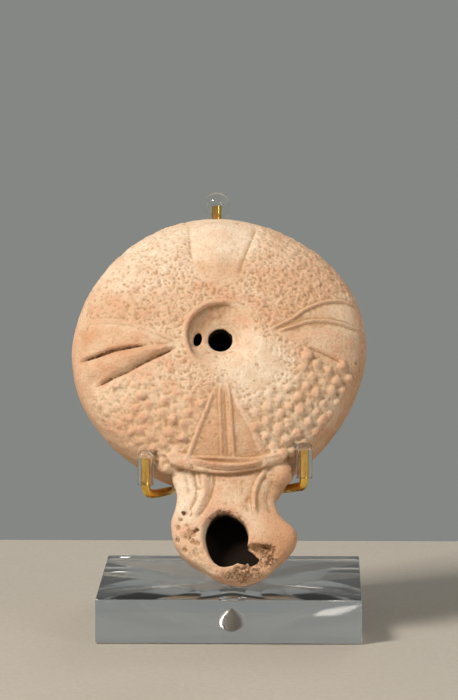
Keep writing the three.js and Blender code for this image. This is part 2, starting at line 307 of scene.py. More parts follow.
# ---- the lamp ----
# Its own axes, in millimetres: a across, s along towards the end away from the nozzle, w out of the face.

lampForm = {
    "middleFromBox": (0.0665, 4.8755, 9.303),
    "leanBack": 31.0,
    "turnRight": 3.0,
    "roll": 2.8,
    "radius": 33.3,
    "domeHeight": 12.0,
    "bowlDepth": 13.2,
    "fullness": 2.5,
    "wall": 3.4,
    "ceilingDip": 3.4,
    "dipRadius": 13,
    "footRadius": 15.0,
    "footHeight": 0.8,
    "voxel": 0.24,
    "triangles": 172000,
}


def rise(radius, outer, height):
    share = np.clip(np.asarray(radius, float) / outer, 0, 1)
    return height * (1 - share ** lampForm["fullness"]) ** (1 / lampForm["fullness"])


def outOfRound(angle, radius):
    wave = (0.006 * np.sin(2 * angle) + 0.01 * np.sin(3 * angle)
            + 0.011 * np.cos(4 * angle) + 0.008 * np.sin(4 * angle))
    return 1 + wave * (radius / lampForm["radius"]) ** 2


def bodyBlank():
    # the two halves of the mould pressed together: dome above, bowl and foot below
    outer, foot = lampForm["radius"], lampForm["footRadius"]
    angles = turnsOf(240)
    power = 2 / lampForm["fullness"]
    profile = []
    for t in np.linspace(0.99, 0.012, 90) * math.pi / 2:
        profile.append((outer * math.cos(t) ** power, lampForm["domeHeight"] * math.sin(t) ** power))
    profile.append((outer, 0))
    for t in np.linspace(0.012, 0.99, 70) * math.pi / 2:
        radius = outer * math.cos(t) ** power
        if radius > foot * 1.08:
            profile.append((radius, -lampForm["bowlDepth"] * math.sin(t) ** power))
    deep = lampForm["bowlDepth"] + lampForm["footHeight"]
    profile += [(foot * 1.045, 0.45 - lampForm["bowlDepth"]), (foot * 1.015, -deep + 0.2), (foot * 0.97, -deep),
                (foot * 0.92, -deep), (foot * 0.87, -deep + 0.25), (foot * 0.82, -lampForm["bowlDepth"]),
                (foot * 0.3, -lampForm["bowlDepth"] + 0.15), (1, -lampForm["bowlDepth"] + 0.15)]
    rings = []
    for radius, height in profile[::-1]:
        reach = radius * outOfRound(angles, radius)
        rings.append(ringOf(angles, reach, reach, height))
    return ringSkin("body", rings)


nozzleForm = {
    "from": 20.0,
    "tip": 56.7,
    "sway": [(20, 0), (35, 0.1), (38, -1.1), (41, -1.4), (45, 0.3), (50, 0.9), (56.7, 1.4)],
    "halfWidth": [(20, 13), (28, 14.3), (31, 13.6), (37.5, 11.1), (42, 12.5), (45.3, 13.8), (49, 12.7), (53, 8.3),
                  (55.6, 4.4), (56.7, 0.6)],
    "top": [(20, 6.6), (29, 6.6), (33, 5.7), (40, 5.2), (49, 5.1), (53.5, 4.5), (55.6, 2.9), (56.7, 0.3)],
    "bottom": [(20, -10.4), (31, -9.4), (38, -7.8), (46, -6.2), (52, -4.8), (55.6, -2.4), (56.7, -0.3)],
    "shoulder": [(20, 3.2), (31, 3.4), (38, 2.9), (46, 3.0), (53, 2.6), (56.7, 0.3)],
    "wall": 2.9,
}


def nozzleAt(what, along):
    return through(nozzleForm[what], along)


def nozzleRings(stations, inset, until):
    rings, turns = [], turnsOf(144)
    length = until - nozzleForm["from"]
    for along in nozzleForm["from"] + length * np.sin(np.linspace(0, math.pi / 2, stations)) ** 0.9:
        half = max(nozzleAt("halfWidth", along) - inset, 0.5)
        top, bottom = nozzleAt("top", along) - inset, nozzleAt("bottom", along) + inset
        drop = min(nozzleAt("shoulder", along), (top - bottom) / 2)
        x = half * np.sign(np.cos(turns)) * np.abs(np.cos(turns)) ** np.where(np.sin(turns) > 0, 0.62, 0.8)
        lift = np.where(np.sin(turns) > 0, drop * np.abs(np.sin(turns)) ** 0.85,
                        -(top - drop - bottom) * np.abs(np.sin(turns)) ** 0.8)
        rings.append(np.stack([x + nozzleAt("sway", along), np.full(144, -along), top - drop + lift], 1))
    return rings


barForm = {"radius": 30.6, "from": -117.0, "to": -64.0, "height": 6.8, "halfWidth": 1.5, "rise": 1.2}


def barBlank():
    rings, turns = [], turnsOf(28)
    for share in np.linspace(0, 1, 70):
        angle = math.radians(barForm["from"] + (barForm["to"] - barForm["from"]) * share)
        end = 1 - abs(2 * share - 1) ** 10
        fat = (1 + 0.3 * abs(2 * share - 1) ** 4) * max(end, 0.05) ** 0.5
        reach = barForm["radius"] - np.cos(turns) * barForm["halfWidth"] * fat
        up = barForm["height"] + np.sin(turns) * barForm["rise"] * fat
        rings.append(np.stack([reach * math.cos(angle), reach * math.sin(angle), up], 1))
    return ringSkin("bar", rings)


# swellings at the ends of the bar: middle, then half sizes
lumps = {
    "massLeft": ((-13.4, -28.4, 4.4), (3.4, 2.2, 2.0)),
    "shoulderRight": ((10.6, -31.4, 3.6), (4.0, 3.6, 2.9)),
}


def lump(name, middle, size):
    levels = [(math.sin(t) * 0.999 + 0.001, -math.cos(t)) for t in np.linspace(0.04, math.pi - 0.04, 18)]
    return ringSkin(name, [ringOf(turnsOf(28), size[0] * r, size[1] * r, middle[2] + size[2] * z, middle)
                           for r, z in levels])


leafOutlines = {
    "near": [(-0.9, -11.4), (-2.7, -14.2), (-5.2, -20.0), (-9.3, -28.2), (-9.6, -31.5), (8.6, -31.5), (8.2, -28.2),
             (4.9, -21.0), (1.7, -14.2), (0.9, -11.4)],
    "right": [(11.2, 0.2), (12.6, 1.6), (16.1, 3.3), (23.4, 7.9), (31.5, 9.1), (33.5, 2.0), (32.2, -6.4),
              (26.3, -6.9), (21.3, -4.9), (15.0, -1.6)],
    "far": [(-5.2, 34), (-5.2, 17), (-2.6, 13.4), (0, 11.6), (2.6, 12.4), (5.2, 14.6), (10.1, 28.4), (11.2, 34)],
    "left": [(-9.3, -1.5), (-9.6, -3.3), (-14.2, -4.9), (-21.2, -8.0), (-27.6, -10.2), (-33, -11.4), (-34, 8.4),
             (-31.2, 7.3), (-22.8, 5.4), (-16.1, 2.4)],
}


def insideOf(places, outline):
    # how far inside an outline each place lies; negative outside
    loop = np.array(outline, float)
    nearest = np.full(len(places), 1e9)
    inside = np.zeros(len(places), bool)
    for p, q in zip(loop, np.roll(loop, -1, axis=0)):
        side = q - p
        t = np.clip(((places - p) @ side) / (side @ side), 0, 1)
        nearest = np.minimum(nearest, np.linalg.norm(places - p - t[:, None] * side, axis=1))
        crosses = (p[1] > places[:, 1]) != (q[1] > places[:, 1])
        inside ^= crosses & (places[:, 0] < side[0] * (places[:, 1] - p[1]) / (side[1] + 1e-12) + p[0])
    return np.where(inside, nearest, -nearest)


def leafDepth(places):
    return np.max([insideOf(places, outline) for outline in leafOutlines.values()], axis=0)


crispForm = {
    # share that is left at each angle in degrees, then how far from the middle the bosses begin
    "keeps": ([-180, -160, -112, -100, -70, -55, -8, 5, 20, 60, 80, 100, 125, 160, 172, 180],
              [0.6, 0.66, 0.8, 0.8, 0.85, 1, 1, 0.7, 0.36, 0.3, 0.3, 0.26, 0.3, 0.46, 0.6, 0.6]),
    "inner": ([-180, -120, -60, -20, 10, 180], [15.5, 15, 17.5, 18.5, 15, 15.5]),
    "fade": 2.5,
}


def crispness(places):
    # how well the bosses have lasted: sharp at the lower right, rubbed away at the top left and round the discus
    angle = np.degrees(np.arctan2(places[:, 1], places[:, 0]))
    inner, fade = np.interp(angle, *crispForm["inner"]), crispForm["fade"]
    return np.interp(angle, *crispForm["keeps"]) * ease(np.linalg.norm(places, axis=1), inner - fade, inner + fade)


bossForm = {
    "rows": [(14.7, 29), (17.5, 35), (20.3, 41), (23.1, 46), (25.9, 51), (28.5, 55), (30.7, 58)],
    "width": 2.3,
    "height": 0.8,
    "unevenness": 0.2,
    "seed": 11,
    "fromLeaf": 0.75,
    "leastCrisp": 0.12,
    "bar": (269.5, 27, 29.2),  # middle angle, half angle and radius that the bar takes up
    "sunk": 0.05,
}


def bossPlaces():
    # staggered rows of bosses in the four fields between the leaves
    random = np.random.default_rng(bossForm["seed"])
    spots = []
    for row, (reach, count) in enumerate(bossForm["rows"]):
        for k in range(count):
            angle = 2 * math.pi * (k + 0.5 * (row % 2)) / count + random.normal() * 0.012
            radius = reach + random.normal() * 0.14
            spots.append((radius, angle))
    radius, angle = np.array(spots).T
    places = np.stack([radius * np.cos(angle), radius * np.sin(angle)], 1)
    crisp = crispness(places)
    barAngle, barHalf, barFrom = bossForm["bar"]
    keep = (leafDepth(places) < -bossForm["fromLeaf"]) & (crisp > bossForm["leastCrisp"])
    keep &= ~((np.abs(np.degrees(angle) % 360 - barAngle) < barHalf) & (radius > barFrom))
    places, radius, angle, crisp = places[keep], radius[keep], angle[keep], crisp[keep]
    out = outOfRound(angle, radius)
    height, before, after = (rise(radius + step, lampForm["radius"], lampForm["domeHeight"])
                             for step in (0, -0.05, 0.05))
    slope = (before - after) / 0.1
    facing = np.stack([slope * np.cos(angle), slope * np.sin(angle), np.ones(len(slope))], 1)
    facing /= np.linalg.norm(facing, axis=1)[:, None]
    points = np.stack([places[:, 0] * out, places[:, 1] * out, height], 1)
    left = (np.degrees(angle) % 360 > 180) & (np.degrees(angle) % 360 < 262)  # less even there
    sizes = np.clip(crisp * (1 + random.normal(size=len(crisp)) * np.where(left, 0.22, 0.1)), 0.1, 1.15)
    return points - facing * bossForm["sunk"], facing, sizes


def bossTree():
    tree = bpy.data.node_groups.new("bosses on points", "GeometryNodeTree")
    sockets = tree.interface
    sockets.new_socket("Geometry", in_out="INPUT", socket_type="NodeSocketGeometry")
    for name, kind, value in (("Width", "NodeSocketFloat", 2.0), ("Height", "NodeSocketFloat", 0.5),
                              ("Unevenness", "NodeSocketFloat", 0.1), ("Seed", "NodeSocketInt", 1),
                              ("Finish", "NodeSocketMaterial", None)):
        socket = sockets.new_socket(name, in_out="INPUT", socket_type=kind)
        if value is not None:
            socket.default_value = value
    sockets.new_socket("Geometry", in_out="OUTPUT", socket_type="NodeSocketGeometry")

    def times(first, second):
        return sums(tree, "MULTIPLY", first, second)

    def chance(low, high, seed=0):
        node = addNode(tree, "FunctionNodeRandomValue", [("Seed", seed)], data_type="FLOAT")
        for socket, value in zip([s for s in node.inputs if s.type == "VALUE" and s.enabled], (low, high)):
            feed(tree, socket, value)
        return [s for s in node.outputs if s.enabled][0]

    given = addNode(tree, "NodeGroupInput").outputs
    points = addNode(tree, "GeometryNodeMeshToPoints", [("Mesh", given["Geometry"])])
    bead = addNode(tree, "GeometryNodeMeshIcoSphere", [("Radius", 0.5), ("Subdivisions", 3)])
    facing = addNode(tree, "GeometryNodeInputNamedAttribute", [("Name", "facing")], data_type="FLOAT_VECTOR")
    size = addNode(tree, "GeometryNodeInputNamedAttribute", [("Name", "size")], data_type="FLOAT")
    turn = addNode(tree, "FunctionNodeAlignRotationToVector", [("Vector", facing.outputs["Attribute"])], axis="Z")
    least, most = (sums(tree, way, 1.0, given["Unevenness"]) for way in ("SUBTRACT", "ADD"))
    spread = chance(least, most, given["Seed"])
    gentle = addNode(tree, "ShaderNodeMapRange", [("Value", size.outputs["Attribute"]), ("To Min", 0.72)])
    wide = times(times(given["Width"], spread), gentle.outputs["Result"])  # a worn boss is only a little narrower
    deep = times(wide, chance(0.72, 1.15))  # and no boss is quite round
    tall = times(times(times(given["Height"], 2.0), spread), size.outputs["Attribute"])
    scale = addNode(tree, "ShaderNodeCombineXYZ", [("X", wide), ("Y", deep), ("Z", tall)])
    place = addNode(tree, "GeometryNodeInstanceOnPoints", [
        ("Points", points.outputs["Points"]), ("Instance", bead.outputs["Mesh"]),
        ("Rotation", turn.outputs["Rotation"]), ("Scale", scale.outputs["Vector"])])
    real = addNode(tree, "GeometryNodeRealizeInstances", [("Geometry", place.outputs["Instances"])])
    paint = addNode(tree, "GeometryNodeSetMaterial", [("Geometry", real.outputs["Geometry"]),
                                                      ("Material", given["Finish"])])
    addNode(tree, "NodeGroupOutput", [("Geometry", paint.outputs["Geometry"])])
    return tree


def makeBosses(material):
    points, facing, sizes = bossPlaces()
    piece = newPiece("bosses", points, [])
    piece.data.attributes.new("facing", "FLOAT_VECTOR", "POINT").data.foreach_set("vector", facing.ravel())
    piece.data.attributes.new("size", "FLOAT", "POINT").data.foreach_set("value", sizes)
    tree = bossTree()
    change = piece.modifiers.new("bosses", "NODES")
    change.node_group = tree
    named = {s.name: s.identifier for s in tree.interface.items_tree if s.in_out == "INPUT"}
    for name, value in (("Width", bossForm["width"]), ("Height", bossForm["height"]),
                        ("Unevenness", bossForm["unevenness"]), ("Seed", bossForm["seed"]), ("Finish", material)):
        change[named[name]] = value
    return settle(piece)


# Lines drawn into the clay: (a, s, half width) along each, then how far it stands up or cuts in.
tooledLines = {
    "nearEdgeLeft": ([(-9.4, -28.6, 0.75), (-7.0, -23.6, 0.75), (-4.5, -18.4, 0.7), (-2.6, -14.0, 0.6)], 0.42),
    "nearEdgeRight": ([(8.0, -28.6, 1.1), (5.9, -23.4, 1.0), (3.6, -18.6, 0.9), (1.7, -14.2, 0.7)], 0.26),
    "nearRibLeft": ([(-1.5, -28.8, 0.6), (-1.35, -22.0, 0.6), (-1.2, -15.0, 0.55), (-0.8, -12.4, 0.4)], 0.38),
    "nearRibRight": ([(1.15, -28.8, 0.62), (1.05, -22.0, 0.62), (0.95, -15.0, 0.55), (0.6, -12.4, 0.4)], 0.38),
    "nearRibGroove": ([(-0.2, -28.8, 0.5), (-0.2, -22.0, 0.5), (-0.1, -14.0, 0.4)], -0.28),
    "farEdgeLeft": ([(-5.4, 29.5, 1.4), (-5.5, 23.0, 1.3), (-5.1, 17.4, 1.1)], -0.22),
    "farEdgeRight": ([(5.0, 14.6, 0.8), (6.4, 18.6, 0.9), (8.4, 23.6, 1.0), (10.2, 28.8, 1.1)], -0.34),
    "farBlade": ([(-0.4, 16.5, 2.4), (0.6, 22.0, 5.0), (1.6, 30.5, 6.6)], 0.42),
    "leftEdgeFar": ([(-31.6, 7.2, 0.9), (-22.9, 5.2, 0.8), (-16.1, 2.2, 0.7), (-10.0, -1.2, 0.5)], 0.26),
    "leftBladeFar": ([(-31.5, 2.8, 4.4), (-22.6, 2.0, 3.3), (-15.4, 0.3, 1.6)], 0.34),
    "leftGrooveFar": ([(-31.8, -2.4, 0.5), (-28.3, -2.3, 0.85), (-24.5, -1.7, 0.85), (-21.0, -1.6, 0.6),
                       (-17.0, -1.6, 0.35)], -1.5),
    "leftBladeNear": ([(-31.0, -5.6, 3.4), (-24.0, -4.6, 3.0), (-17.5, -3.2, 1.7), (-11.6, -2.6, 1.0)], 0.75),
    "leftGrooveNear": ([(-28.4, -9.4, 0.5), (-25.0, -8.2, 1.0), (-21.6, -7.2, 1.1), (-18.3, -5.8, 1.0),
                        (-14.6, -4.4, 0.9), (-10.6, -2.9, 0.5)], -1.3),
    "rightEdgeFar": ([(11.4, 0.6, 0.5), (16.1, 2.9, 0.65), (19.6, 5.5, 0.65), (23.4, 7.4, 0.65), (27.4, 8.5, 0.65),
                      (31.8, 8.3, 0.6)], 0.5),
    "rightRib": ([(13.2, 0.1, 0.4), (16.4, 1.1, 0.55), (19.8, 2.4, 0.6), (23.2, 2.9, 0.62), (27.0, 2.7, 0.62),
                  (31.6, 1.8, 0.55)], 0.48),
    "rightBladeNear": ([(17.0, -1.2, 1.4), (23.0, -1.4, 3.0), (31.0, -1.8, 3.6)], 0.3),
    "rightGrooveNear": ([(19.4, -3.8, 0.4), (21.3, -4.6, 0.6), (24.2, -5.7, 0.65), (27.8, -7.3, 0.4)], -0.6),
    "barUpper": ([(-13.6, -26.6, 0.9), (-9.6, -27.7, 0.8), (-6.9, -28.2, 0.7), (-3.0, -28.6, 0.65),
                  (0.6, -29.0, 0.65), (4.3, -29.2, 0.65), (8.2, -29.1, 0.65), (12.0, -28.6, 0.7)], 0.36),
    "barGroove": ([(-6.0, -28.9, 0.5), (-1.9, -29.5, 0.55), (1.3, -29.7, 0.55), (5.0, -29.7, 0.45)], -0.4),
    "barLower": ([(-7.9, -28.9, 0.6), (-4.1, -30.1, 0.75), (-1.2, -30.5, 0.75), (1.3, -30.7, 0.75),
                  (4.2, -30.6, 0.75), (7.9, -29.9, 0.7)], 0.5),
    "barFoot": ([(-8.2, -30.0, 0.7), (-3.6, -31.5, 0.9), (1.0, -32.0, 0.95), (4.4, -31.8, 0.9),
                 (7.0, -31.0, 0.6)], -0.5),
    "neckBandLeft": ([(-12.6, -31.2, 2.6), (-11.4, -35.0, 2.4), (-10.9, -38.0, 2.1), (-11.4, -41.6, 2.0)], 0.5),
    "neckGrooveLeft": ([(-8.6, -29.4, 0.6), (-7.9, -32.2, 0.8), (-7.6, -34.8, 0.8), (-8.0, -37.2, 0.7),
                        (-9.2, -39.6, 0.4)], -0.4),
    "neckRidgeLeft": ([(-6.3, -30.6, 1.1), (-5.6, -32.4, 1.25), (-5.7, -34.8, 1.25), (-6.4, -37.3, 1.15),
                       (-7.8, -39.9, 1.0), (-8.8, -41.8, 0.8)], 0.55),
    "neckHollowLeft": ([(-3.5, -31.6, 0.6), (-3.5, -34.0, 0.8), (-4.5, -37.1, 0.8), (-6.1, -39.8, 0.6),
                        (-7.4, -41.4, 0.4)], -0.38),
    "neckRidgeMiddle": ([(2.2, -32.6, 0.5), (2.0, -35.2, 0.55), (2.1, -38.0, 0.4)], 0.14),
    "neckCrestRight": ([(8.3, -30.4, 0.8), (7.8, -31.9, 0.9), (6.5, -33.6, 0.9), (5.5, -36.0, 0.9), (5.1, -38.6, 0.8),
                        (5.3, -41.6, 0.7)], 0.6),
    "neckHollowRight": ([(3.9, -36.4, 0.9), (3.4, -39.4, 0.9), (3.6, -41.6, 0.6)], -0.2),
    "neckFlatRight": ([(11.0, -31.0, 2.2), (9.3, -34.6, 1.9), (8.2, -38.0, 1.7), (8.6, -42.0, 1.5)], -0.3),
    "shoulderStep": ([(31.9, -5.0, 0.5), (30.6, -10.6, 0.5), (27.6, -17.0, 0.5), (22.6, -23.0, 0.5),
                      (17.6, -27.0, 0.4)], -0.2),
}

# Places where the clay is gone or pitted: (a, s, w), radius, depth.
craters = {
    "lobePits": [((-10.7, -40.4, 4.6), 0.7, 0.4), ((-11.5, -41.8, 4.4), 0.6, 0.35), ((-12.2, -43.4, 4.0), 0.8, 0.45),
                 ((-10.2, -43.2, 4.8), 0.55, 0.3), ((-9.3, -45.2, 4.9), 1.1, 0.75), ((-8.1, -44.6, 4.9), 0.8, 0.55),
                 ((-10.6, -45.9, 4.6), 0.9, 0.5), ((-9.3, -47.1, 4.8), 0.8, 0.6), ((-8.2, -47.7, 4.9), 0.7, 0.5),
                 ((-12.3, -46.0, 3.2), 0.9, 0.4), ((-11.1, -48.9, 3.6), 0.8, 0.4)],
    "frontLoss": [((0.8, -55.6, 3.4), 2.0, 0.45), ((3.6, -54.9, 3.8), 1.9, 0.5), ((-1.4, -55.3, 3.2), 1.4, 0.3),
                  ((6.3, -53.8, 4.0), 1.3, 0.5), ((-8.6, -50.4, 4.6), 1.5, 0.4)],
    "hookNicks": [((-14.5, -28.6, 6.8), 1.3, 0.5), ((-16.4, -26.8, 5.8), 1.1, 0.5), ((-9.2, -27.9, 8.6), 0.7, 0.3)],
}


def lineLift(places, path, height):
    # height of a drawn line at each place: a rounded ridge, or a sharper cut where height is negative
    path = evenly(smoothRoute(path, 6), 0.8)
    low, high = path[:, :2].min(0) - path[:, 2].max(), path[:, :2].max(0) + path[:, 2].max()
    near = np.where(((places > low) & (places < high)).all(1))[0]
    found = np.zeros(len(places))
    if not len(near):
        return found
    own, best = places[near], np.full(len(near), 9.0)
    reach = np.concatenate([[0], np.cumsum(np.linalg.norm(np.diff(path[:, :2], axis=0), axis=1))])
    along = np.zeros(len(near))
    for k in range(len(path) - 1):
        p, side = path[k, :2], path[k + 1, :2] - path[k, :2]
        t = np.clip(((own - p) @ side) / (side @ side), 0, 1)
        half = path[k, 2] + (path[k + 1, 2] - path[k, 2]) * t
        share = np.linalg.norm(own - p - t[:, None] * side, axis=1) / half
        closer = share < best
        best = np.where(closer, share, best)
        along = np.where(closer, reach[k] + t * np.linalg.norm(side), along)
    fade = ease(along, 0, 1.6) * ease(reach[-1] - along, 0, 1.6) * 0.75 + 0.25
    body = np.clip(1 - best ** 2, 0, 1) ** 2 if height > 0 else np.clip(1 - best, 0, 1) ** 1.2
    found[near] = body * fade * height
    return found


def smoothed(points, edges, rounds, share):
    ends, starts = np.concatenate([edges[:, 0], edges[:, 1]]), np.concatenate([edges[:, 1], edges[:, 0]])
    counts = np.maximum(np.bincount(ends, minlength=len(points)), 1)[:, None]
    for _ in range(rounds):
        around = np.stack([np.bincount(ends, points[starts, k], len(points)) for k in range(3)], 1) / counts
        points = points + (around - points) * share
    return points


# thin ring round the hollow: it has lasted at the upper left and is rubbed away at the lower right
ringForm = {
    "middle": (0.1, -0.3),
    "radius": 8.4,
    "halfWidth": 0.85,
    "stands": ([0, 50, 75, 100, 200, 225, 250, 360], [0, 0, 0.25, 0.45, 0.45, 0.2, 0, 0]),
}


def ringLift(places):
    angle = np.degrees(np.arctan2(places[:, 1], places[:, 0])) % 360
    off = np.abs(np.linalg.norm(places - ringForm["middle"], axis=1) - ringForm["radius"]) / ringForm["halfWidth"]
    return np.interp(angle, *ringForm["stands"]) * np.clip(1 - off ** 2, 0, 1) ** 1.5


wearForm = {
    "rubbed": ((6.5, -7.5), 1, 9.5, 4),  # smooth place beside the hollow
    "sandy": ((3, 4), 1, 27, 17),  # the middle of the face has the most sand
    "sandyLeast": 0.45,
    "allOver": ((0.035, 0.9, 25), (0.05, 2.4, 26), (0.09, 7.0, 27)),  # height, size and seed of each wave
    "field": ((0.11, 1.25, 24), (0.05, 0.8, 33)),
    "lowerLeft": (0.16, 2.1, 34),
    "pits": ((1.3, 28), (6.0, 29), 0.16),
    "broken": ((5.9, -51.2, 5.4), (4.2, 3.4, 3.0), 1.25, 0.9),
    "brokenTip": (52.0, 54.5),
}


def waves(points, layers):
    return sum(height * swell(points, size, seed) for height, size, seed in layers)


def wear(points, normals):
    # everything that stands on or is cut into the face, then the sandy, rubbed surface of old clay
    plan, places, front = wearForm, points[:, :2], ease(normals[:, 2], 0.05, 0.45)
    lift = sum(lineLift(places, *line) for line in tooledLines.values()) * front
    lift += ringLift(places) * front * ease(points[:, 2], 7, 9)
    field = ease(-leafDepth(places), -0.2, 0.8) * front * (np.linalg.norm(places, axis=1) > 8.8)
    field = field * ease(places[:, 1], -31.5, -29.5)
    rubbed = spot(places, *plan["rubbed"])
    grainy = field * (1 - 0.75 * ease(crispness(places), 0.45, 0.9)) * (1 - 0.9 * rubbed)
    sandy = grainy * (plan["sandyLeast"] + (1 - plan["sandyLeast"]) * spot(places, *plan["sandy"]))
    coarse = swell(points, 1.15, 21)
    lift += sandy * (0.26 * np.maximum(coarse, 0) ** 1.3 + 0.06 * coarse + 0.2 * swell(points, 0.75, 22))
    lift += sandy * 0.14 * swell(points, 2.6, 23)
    lift += field * (1 - 0.8 * rubbed) * waves(points, plan["field"])
    height, size, seed = plan["lowerLeft"]
    lift += height * ease(-places[:, 0], 8, 13) * ease(-places[:, 1], 10, 14) * field * swell(points, size, seed)
    lift += waves(points, plan["allOver"])
    small, large, depth = plan["pits"]
    lift -= depth * (ease(swell(points, *small), 0.42, 0.75) * ease(swell(points, *large), -0.1, 0.5))
    for middle, size, depth in sum(craters.values(), []):
        off = points - middle
        near = (off ** 2).sum(1) < (1.7 * size) ** 2
        rough = 1 + 0.75 * swell(points[near], 1.0, 30)
        lift[near] -= depth * (1 - ease(np.linalg.norm(off[near], axis=1) / rough, 0.35 * size, 1.25 * size))
    rough = np.clip(spot(points, *plan["broken"]) + 0.6 * (ease(-points[:, 1], *plan["brokenTip"]) * front), 0, 1)
    return lift + rough * (0.22 * (grains(points, 1.0, 31) - 0.5) + 0.14 * swell(points, 0.7, 32))


def brokenBlank(name, outline, low, slope):
    # rough-sided plug over an outline, its floor rising to the right
    corners = np.array(outline + outline[:1], float)
    edge = evenly(np.column_stack([corners, np.zeros(len(corners))]), 0.35)[:-1, :2]
    middle, rings = edge.mean(0), []
    for level, lift, grow in ((0, 0, 0.1), (0, 0, 0.75), (0.15, 0.25, 1.0), (0.6, 0.6, 1.05), (1, 9, 1.12)):
        ring = middle + (edge - middle) * grow
        floor = low + slope * np.maximum(ring[:, 0] - 3, 0) * (level < 1) + lift
        own = np.column_stack([ring, floor])
        own[:, :2] += 0.28 * np.stack([swell(own, 1.3, 41), swell(own, 1.3, 42)], 1)
        own[:, 2] += 0.3 * swell(own, 1.2, 43) * (level < 1)
        rings.append(own)
    return ringSkin(name, rings)


openings = {
    # hollow of the discus: (radius, height) where the rim still stands, then where it is rubbed away
    "funnel": [((0.4, 8.2), (0.4, 8.2)), ((2.9, 8.2), (2.9, 8.2)), ((5.2, 9.45), (5.0, 10.1)),
               ((7.5, 11.0), (7.6, 11.35)), ((7.9, 12.2), (10.6, 12.0)), ((8.0, 16), (16, 16)),
               ((0.4, 16), (0.4, 16))],
    "rimKept": ([0, 50, 85, 200, 235, 360], [0, 0, 1, 1, 0, 0]),
    "filling": [(2.7, 2), (2.68, 7.6), (2.85, 8.1), (3.3, 9.0), (3.4, 13)],
    "air": {"middle": (-5.1, -0.3), "radii": (0.95, 1.6), "lean": 0.4, "leanFrom": 9.6,
            "levels": [(2, 0.9), (8.6, 1.0), (9.6, 1.18), (13, 1.7)]},
    # height, middle and half widths from the channel up to the worn lip
    "wick": [(-1.5, (-1.4, -47.1), (4.6, 6.3)), (2.6, (-1.4, -47.1), (4.6, 6.3)), (3.6, (-1.5, -47.1), (4.75, 6.35)),
             (4.5, (-1.8, -47.1), (5.05, 6.5)), (5.3, (-2.2, -47.1), (5.6, 6.8)), (12, (-2.3, -47.1), (6.0, 7.2))],
    # pieces broken out beside the wick hole: outline, lowest height, slope of the floor
    "notch": ([(0, -49.5), (0, -52.5), (1.4, -52.9), (4.2, -53.0), (5.4, -51.7), (4.2, -50.2), (3.0, -49.2)],
              -1.5, 0),
    "chip": ([(2.6, -48.9), (3.2, -53.3), (5.4, -53.9), (7.3, -54.1), (9.4, -52.7), (9.6, -50.6), (8.0, -49.0),
              (5.4, -48.7)], 2.5, 0.24),
}


def cutters():
    # the funnel with its two holes, the wick hole with its worn lip, and the broken places beside it
    around, plan = turnsOf(96), openings["air"]
    kept = np.interp(np.degrees(around), *openings["rimKept"])
    funnel = []
    for (crisp, low), (soft, high) in openings["funnel"]:
        radius = crisp * kept + soft * (1 - kept)
        funnel.append(ringOf(around, radius, radius, low * kept + high * (1 - kept)))
    air = []
    for z, size in plan["levels"]:
        x, y = (plan["radii"][k] * size * way(turnsOf(32)) for k, way in ((0, np.cos), (1, np.sin)))
        lean = plan["lean"] * (plan["leanFrom"] - z)
        air.append(np.stack([plan["middle"][0] + 0.96 * x + 0.28 * y,
                             plan["middle"][1] + lean - 0.28 * x + 0.96 * y, np.full(32, z)], 1))
    wobble = 1 + 0.03 * np.sin(3 * around + 1) + 0.02 * np.sin(5 * around)
    wick = [ringOf(around, size[0] * wobble, size[1] * wobble, z, middle) for z, middle, size in openings["wick"]]
    return [ringSkin("funnel", funnel), turnedSkin("filling", openings["filling"], 48), ringSkin("air", air),
            ringSkin("wick", wick), brokenBlank("notch", *openings["notch"]), brokenBlank("chip", *openings["chip"])]


def chamberBlank():
    # the space inside, with a ceiling that dips under the funnel, and the channel to the wick hole
    inner, deep = lampForm["radius"] - lampForm["wall"], lampForm["bowlDepth"] - lampForm["wall"]
    profile = [(0.3, -deep)]
    for share in (0.3, 0.5, 0.66, 0.8, 0.9, 0.96, 0.99):
        profile.append((inner * share, -float(rise(inner * share, inner, deep))))
    for share in (1, 0.99, 0.96, 0.9, 0.8, 0.66, 0.5, 0.36, 0.24, 0.12, 0.01):
        radius = inner * share
        dip = lampForm["ceilingDip"] * max(1 - radius / lampForm["dipRadius"], 0) ** 0.7
        profile.append((radius, float(rise(radius, inner, lampForm["domeHeight"] - lampForm["wall"])) - dip))
    channel = ringSkin("channel", nozzleRings(16, nozzleForm["wall"], nozzleForm["tip"] - nozzleForm["wall"] - 0.6))
    return combine(turnedSkin("chamber", profile, 64), channel, "UNION")


def fuse(piece, voxel):
    change = piece.modifiers.new("fuse", "REMESH")
    change.mode = "VOXEL"
    change.voxel_size = voxel
    return settle(piece)


def lampPlace():
    low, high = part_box("lamp_body")
    middle = (low + high) / 2 + Vector(lampForm["middleFromBox"]) * mm
    turned = (Matrix.Rotation(math.radians(lampForm["turnRight"]), 4, "Z")
              @ Matrix.Rotation(math.radians(90 - lampForm["leanBack"]), 4, "X")
              @ Matrix.Rotation(math.radians(lampForm["roll"]), 4, "Z"))
    return Matrix.Translation(middle) @ turned @ Matrix.Scale(mm, 4)


def addMask(mesh, name, values):
    mesh.attributes.new(name, "FLOAT", "POINT").data.foreach_set("value", np.clip(values, 0, 1).astype(np.float32))


# middle and half sizes, then where a stain or painted shade ends and where it is full, in shares of the half sizes
stainsAndShades = {
    "chip": ((6.4, -51.4, 5.0), (4.0, 3.2, 3.0), 1.15, 0.75),
    "lip": ((1.6, -55.4, 2.8), (5.4, 2.4, 2.6), 1.2, 0.6),
    "nozzleRightShade": ((9.5, -50), (6.5, 7), 1.1, 0.5),
    "cream": [((7.5, -9.0), 1, 13, 6), ((0, 26), (13, 9), 1.2, 0.6), ((-16, 22), (14, 12), 1.2, 0.6),
              ((-10, -37), (4, 6), 1.3, 0.6)],
    "wickRing": (4.9, 6.6),
    "wickHole": (4.75, 6.45),
}


